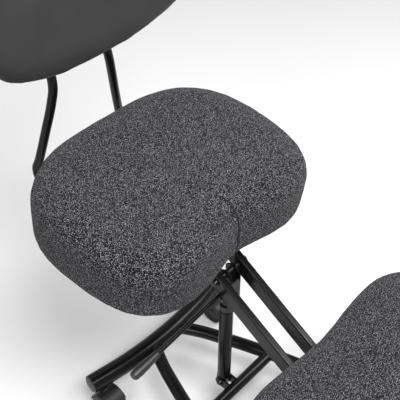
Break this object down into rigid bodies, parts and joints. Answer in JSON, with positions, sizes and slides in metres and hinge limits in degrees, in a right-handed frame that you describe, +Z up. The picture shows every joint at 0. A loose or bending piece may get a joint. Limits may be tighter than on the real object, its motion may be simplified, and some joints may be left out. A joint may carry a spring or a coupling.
{
  "type": "kneeling chair",
  "caption": "Kneeling chair with a tilted seat cushion, a lower shin cushion, a small backrest, a gas-spring height linkage and twin-wheel casters.",
  "frame": {"origin": "on the floor, under the middle of the chair's bounding box", "axes": "+Z up, the sitter faces -Y, +X is the sitter's left"},
  "size_m": [0.472, 0.9408, 0.903],
  "materials": {
    "powder_coat": "satin black powder coat",
    "fabric": "heathered charcoal woven upholstery",
    "backrest_cover": "smooth black upholstery",
    "plastic": "matt black nylon",
    "zinc": "black-oxide steel fasteners",
    "chrome": "hard-chromed rod",
    "plywood": "birch plywood",
    "tread": "black wheel with a soft tread"
  },
  "bodies": {
    "base": {"rear_crossbar": "powder_coat", "front_crossbar": "powder_coat", "rear_crossbar_plug_left": "plastic", "rear_crossbar_plug_right": "plastic", "front_crossbar_plug_left": "plastic", "front_crossbar_plug_right": "plastic", "base_rail_left": "powder_coat", "base_rail_right": "powder_coat", "gas_cross_tube": "powder_coat", "gas_lower_bolt": "zinc", "pivot_bolt": "zinc"},
    "seat_frame": {"seat_rail_left": "powder_coat", "seat_rail_right": "powder_coat", "seat_rail_cap_left": "plastic", "seat_rail_cap_right": "plastic", "pivot_sleeve": "powder_coat", "axle_bolt": "zinc", "gas_hanger": "powder_coat", "gas_upper_bolt": "zinc", "seat_bracket": "powder_coat", "seat_board": "plywood", "seat_cushion": "fabric", "seat_screw_1": "zinc", "seat_screw_2": "zinc", "seat_screw_3": "zinc", "seat_screw_4": "zinc", "rail_bolt": "zinc", "knee_stand": "powder_coat", "knee_stand_bolt": "zinc", "knee_hinge_bolt": "zinc", "backrest_tube_left": "powder_coat", "backrest_tube_right": "powder_coat", "backrest_mount": "plastic", "backrest_crossplate": "powder_coat", "backrest_bolt": "zinc"},
    "gas_cylinder": {"gas_cylinder": "powder_coat", "gas_gland": "plastic"},
    "gas_piston": {"gas_rod": "chrome", "gas_head": "plastic"},
    "release_lever": {"release_lever": "powder_coat", "release_grip": "plastic"},
    "knee_rest": {"knee_cushion": "fabric", "knee_board": "plywood", "knee_bracket": "powder_coat"},
    "knee_knob": {"knee_knob": "plastic"},
    "backrest": {"backrest_shell": "plastic", "backrest_cushion": "backrest_cover", "backrest_bracket": "powder_coat"},
    "caster_rear_left": {"caster_fork_rear_left": "plastic"},
    "wheel_rear_left_left": {"caster_wheel_rear_left_left": "tread"},
    "wheel_rear_left_right": {"caster_wheel_rear_left_right": "tread"},
    "caster_rear_right": {"caster_fork_rear_right": "plastic"},
    "wheel_rear_right_left": {"caster_wheel_rear_right_left": "tread"},
    "wheel_rear_right_right": {"caster_wheel_rear_right_right": "tread"},
    "caster_front_left": {"caster_fork_front_left": "plastic"},
    "wheel_front_left_left": {"caster_wheel_front_left_left": "tread"},
    "wheel_front_left_right": {"caster_wheel_front_left_right": "tread"},
    "caster_front_right": {"caster_fork_front_right": "plastic"},
    "wheel_front_right_left": {"caster_wheel_front_right_left": "tread"},
    "wheel_front_right_right": {"caster_wheel_front_right_right": "tread"}
  },
  "joints": [
    {"name": "seat_height", "type": "hinge", "parent": "base", "child": "seat_frame", "pos_m": [0, -0.3661, 0.0835], "axis": [1, 0, 0], "range_deg": [0, 9]},
    {"name": "gas_tilt", "type": "hinge", "parent": "base", "child": "gas_cylinder", "pos_m": [0, 0.0959, 0.075], "axis": [1, 0, 0], "range_deg": [0, 8]},
    {"name": "gas_extend", "type": "slide", "parent": "gas_cylinder", "child": "gas_piston", "axis": [0, -0.0043, 1], "range_m": [0, 0.075]},
    {"name": "release_lever", "type": "hinge", "parent": "seat_frame", "child": "release_lever", "pos_m": [-0.023, 0.0889, 0.3375], "axis": [0, 1, 0], "range_deg": [0, 8], "stiffness_Nm_per_rad": 1, "springref_deg": -8.59},
    {"name": "knee_tilt", "type": "hinge", "parent": "seat_frame", "child": "knee_rest", "pos_m": [0, -0.1991, 0.284], "axis": [1, 0, 0], "range_deg": [-6, 15]},
    {"name": "knee_knob_turn", "type": "hinge", "parent": "seat_frame", "child": "knee_knob", "pos_m": [-0.0445, -0.1991, 0.284], "axis": [1, 0, 0], "continuous": true},
    {"name": "backrest_tilt", "type": "hinge", "parent": "seat_frame", "child": "backrest", "pos_m": [0, 0.4334, 0.745], "axis": [1, 0, 0], "range_deg": [-8, 6]},
    {"name": "swivel_rear_left", "type": "hinge", "parent": "base", "child": "caster_rear_left", "pos_m": [0.158, 0.26787, 0.057], "axis": [0, 0, 1], "continuous": true},
    {"name": "spin_rear_left_left", "type": "hinge", "parent": "caster_rear_left", "child": "wheel_rear_left_left", "pos_m": [0.158, 0.24787, 0.02469], "axis": [1, 0, 0], "continuous": true},
    {"name": "spin_rear_left_right", "type": "hinge", "parent": "caster_rear_left", "child": "wheel_rear_left_right", "pos_m": [0.158, 0.24787, 0.02469], "axis": [1, 0, 0], "continuous": true},
    {"name": "swivel_rear_right", "type": "hinge", "parent": "base", "child": "caster_rear_right", "pos_m": [-0.158, 0.26787, 0.057], "axis": [0, 0, 1], "continuous": true},
    {"name": "spin_rear_right_left", "type": "hinge", "parent": "caster_rear_right", "child": "wheel_rear_right_left", "pos_m": [-0.158, 0.24787, 0.02469], "axis": [1, 0, 0], "continuous": true},
    {"name": "spin_rear_right_right", "type": "hinge", "parent": "caster_rear_right", "child": "wheel_rear_right_right", "pos_m": [-0.158, 0.24787, 0.02469], "axis": [1, 0, 0], "continuous": true},
    {"name": "swivel_front_left", "type": "hinge", "parent": "base", "child": "caster_front_left", "pos_m": [0.2, -0.42511, 0.057], "axis": [0, 0, 1], "continuous": true},
    {"name": "spin_front_left_left", "type": "hinge", "parent": "caster_front_left", "child": "wheel_front_left_left", "pos_m": [0.2, -0.44511, 0.02469], "axis": [1, 0, 0], "continuous": true},
    {"name": "spin_front_left_right", "type": "hinge", "parent": "caster_front_left", "child": "wheel_front_left_right", "pos_m": [0.2, -0.44511, 0.02469], "axis": [1, 0, 0], "continuous": true},
    {"name": "swivel_front_right", "type": "hinge", "parent": "base", "child": "caster_front_right", "pos_m": [-0.2, -0.42511, 0.057], "axis": [0, 0, 1], "continuous": true},
    {"name": "spin_front_right_left", "type": "hinge", "parent": "caster_front_right", "child": "wheel_front_right_left", "pos_m": [-0.2, -0.44511, 0.02469], "axis": [1, 0, 0], "continuous": true},
    {"name": "spin_front_right_right", "type": "hinge", "parent": "caster_front_right", "child": "wheel_front_right_right", "pos_m": [-0.2, -0.44511, 0.02469], "axis": [1, 0, 0], "continuous": true}
  ],
  "couplings": [
    {"joint": "gas_tilt", "follows": "seat_height", "ratio": 0.862},
    {"joint": "gas_extend", "follows": "seat_height", "m_per_rad": 0.46}
  ]
}
